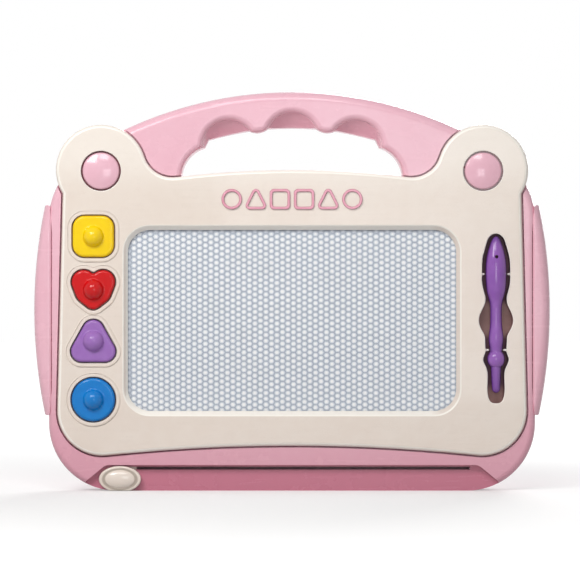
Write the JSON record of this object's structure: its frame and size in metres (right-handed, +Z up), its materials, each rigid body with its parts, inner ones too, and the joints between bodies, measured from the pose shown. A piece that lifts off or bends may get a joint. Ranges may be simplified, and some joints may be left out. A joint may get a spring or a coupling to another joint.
{
  "type": "magnetic drawing board",
  "caption": "Child's magnetic drawing board with a carrying handle, a sweeping eraser, a pen and shaped stamps that lift out of the bezel.",
  "frame": {"origin": "centre of the base, on the surface the board stands on, at the middle of its depth with the stamps in place", "axes": "+X to the right seen from the front, +Y towards the rear shell, +Z up; the screen faces -Y"},
  "size_m": [0.38, 0.042, 0.2936],
  "materials": {
    "cream_plastic": "gloss",
    "pink_plastic": "gloss",
    "dark_plastic": "satin",
    "inner_plastic": "satin",
    "gasket_rubber": "matte",
    "clear_film": "gloss",
    "cell_sheet": "satin",
    "magnet": "matte",
    "pen_plastic": "gloss",
    "yellow_plastic": "gloss",
    "red_plastic": "gloss",
    "lilac_plastic": "gloss",
    "blue_plastic": "gloss",
    "steel": "satin"
  },
  "bodies": {
    "board": {"front_bezel": "cream_plastic", "case_front": "pink_plastic", "case_back": "pink_plastic", "side_grip_left": "pink_plastic", "side_grip_right": "pink_plastic", "ear_cap_left": "pink_plastic", "ear_cap_right": "pink_plastic", "header_figures": "pink_plastic", "pen_tray": "dark_plastic", "screen_gasket": "gasket_rubber", "screen_front_film": "clear_film", "screen_honeycomb": "cell_sheet", "screen_rear_film": "cell_sheet", "screen_frame": "inner_plastic", "guide_rail_top": "inner_plastic", "guide_rail_bottom": "inner_plastic", "case_screws": "steel", "bezel_screws": "steel"},
    "eraser": {"eraser_bar": "inner_plastic", "eraser_magnet": "magnet", "slider_carriage": "cream_plastic", "slider_knob": "cream_plastic"},
    "pen": {"pen_body": "pen_plastic", "pen_tip": "pen_plastic", "pen_magnet": "magnet"},
    "square_stamp": {"stamp_square": "yellow_plastic", "stamp_magnet_square": "magnet"},
    "heart_stamp": {"stamp_heart": "red_plastic", "stamp_magnet_heart": "magnet"},
    "triangle_stamp": {"stamp_triangle": "lilac_plastic", "stamp_magnet_triangle": "magnet"},
    "circle_stamp": {"stamp_circle": "blue_plastic", "stamp_magnet_circle": "magnet"}
  },
  "joints": [
    {"name": "eraser_slide", "type": "slide", "parent": "board", "child": "eraser", "axis": [1, 0, 0], "range_m": [0, 0.253]},
    {"name": "pen_lift", "type": "slide", "parent": "board", "child": "pen", "axis": [0, -1, 0], "range_m": [0, 0.05]},
    {"name": "square_lift", "type": "slide", "parent": "board", "child": "square_stamp", "axis": [0, -1, 0], "range_m": [0, 0.05]},
    {"name": "heart_lift", "type": "slide", "parent": "board", "child": "heart_stamp", "axis": [0, -1, 0], "range_m": [0, 0.05]},
    {"name": "triangle_lift", "type": "slide", "parent": "board", "child": "triangle_stamp", "axis": [0, -1, 0], "range_m": [0, 0.05]},
    {"name": "circle_lift", "type": "slide", "parent": "board", "child": "circle_stamp", "axis": [0, -1, 0], "range_m": [0, 0.05]}
  ]
}
